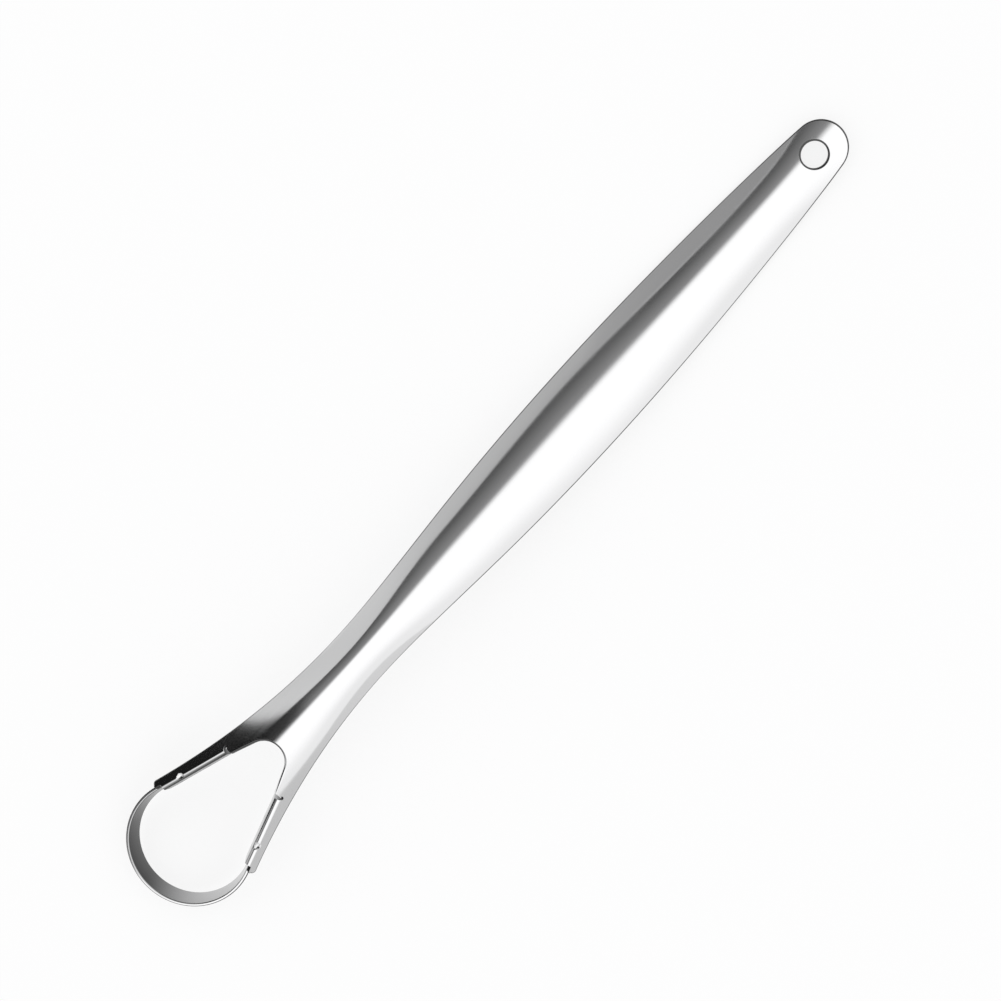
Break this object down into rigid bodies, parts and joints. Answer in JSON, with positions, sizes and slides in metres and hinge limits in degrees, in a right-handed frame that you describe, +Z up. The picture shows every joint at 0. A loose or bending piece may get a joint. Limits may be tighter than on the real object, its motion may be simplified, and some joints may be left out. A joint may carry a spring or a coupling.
{
  "type": "tongue scraper",
  "caption": "Stainless steel tongue scraper: an arched sheet-metal handle with a hanging hole and a fork that holds a leaning loop of steel strip for scraping.",
  "frame": {"origin": "centre of the plan bounding box, on the surface that the scraper lies on", "axes": "+X from the tail to the scraping loop, +Z up from that surface, +Y to the left when looking along +X"},
  "size_m": [0.1508, 0.0202, 0.0113],
  "materials": {
    "handle_steel": "polished, fine lengthwise grain",
    "band_steel": "polished, rounded edges",
    "weld_metal": "fused, unpolished"
  },
  "bodies": {
    "root": {"handle": "handle_steel", "scraper_band": "band_steel", "left_spot_welds": "weld_metal", "right_spot_welds": "weld_metal"}
  },
  "joints": []
}
